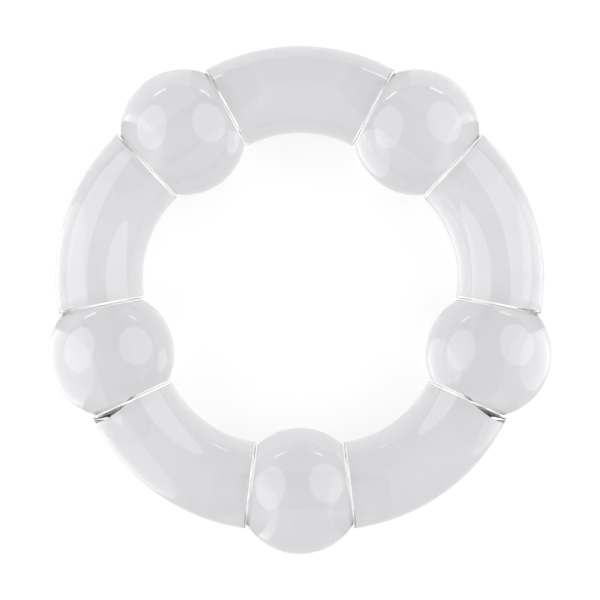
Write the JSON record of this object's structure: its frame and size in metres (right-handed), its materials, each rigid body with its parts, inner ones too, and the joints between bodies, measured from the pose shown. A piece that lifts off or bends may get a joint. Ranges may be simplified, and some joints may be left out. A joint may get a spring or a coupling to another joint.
{
  "type": "teething ring",
  "caption": "Clear round teething ring of plain balls that turn between smooth curved grips, closed into a circle by hidden pins.",
  "frame": {"origin": "centre of the ring, at half its height; the ball centres and the grips' centre lines all lie in the plane z = 0", "axes": "+Z is the ring's axis; -Y points to ball_1; the numbers run anticlockwise seen from +Z, and grip_1 follows ball_1"},
  "size_m": [0.0814, 0.0821, 0.0204],
  "materials": {
    "ball_clear": "clear glossy soft elastomer, colourless",
    "grip_clear": "clear glossy soft elastomer, colourless",
    "pin_clear": "clear moulded plastic, colourless"
  },
  "bodies": {
    "grips_and_pins": {"grip_1": "grip_clear", "grip_2": "grip_clear", "grip_3": "grip_clear", "grip_4": "grip_clear", "grip_5": "grip_clear", "axle_pin_1": "pin_clear", "axle_pin_2": "pin_clear", "axle_pin_3": "pin_clear", "axle_pin_4": "pin_clear", "axle_pin_5": "pin_clear"},
    "ball_body_1": {"ball_1": "ball_clear"},
    "ball_body_2": {"ball_2": "ball_clear"},
    "ball_body_3": {"ball_3": "ball_clear"},
    "ball_body_4": {"ball_4": "ball_clear"},
    "ball_body_5": {"ball_5": "ball_clear"}
  },
  "joints": [
    {"name": "ball_1_spin", "type": "hinge", "parent": "grips_and_pins", "child": "ball_body_1", "pos_m": [0, -0.0321, 0], "axis": [1, 0, 0], "continuous": true},
    {"name": "ball_2_spin", "type": "hinge", "parent": "grips_and_pins", "child": "ball_body_2", "pos_m": [0.03053, -0.00992, 0], "axis": [0.309, 0.9511, 0], "continuous": true},
    {"name": "ball_3_spin", "type": "hinge", "parent": "grips_and_pins", "child": "ball_body_3", "pos_m": [0.01887, 0.02597, 0], "axis": [-0.809, 0.5878, 0], "continuous": true},
    {"name": "ball_4_spin", "type": "hinge", "parent": "grips_and_pins", "child": "ball_body_4", "pos_m": [-0.01887, 0.02597, 0], "axis": [-0.809, -0.5878, 0], "continuous": true},
    {"name": "ball_5_spin", "type": "hinge", "parent": "grips_and_pins", "child": "ball_body_5", "pos_m": [-0.03053, -0.00992, 0], "axis": [0.309, -0.9511, 0], "continuous": true}
  ]
}
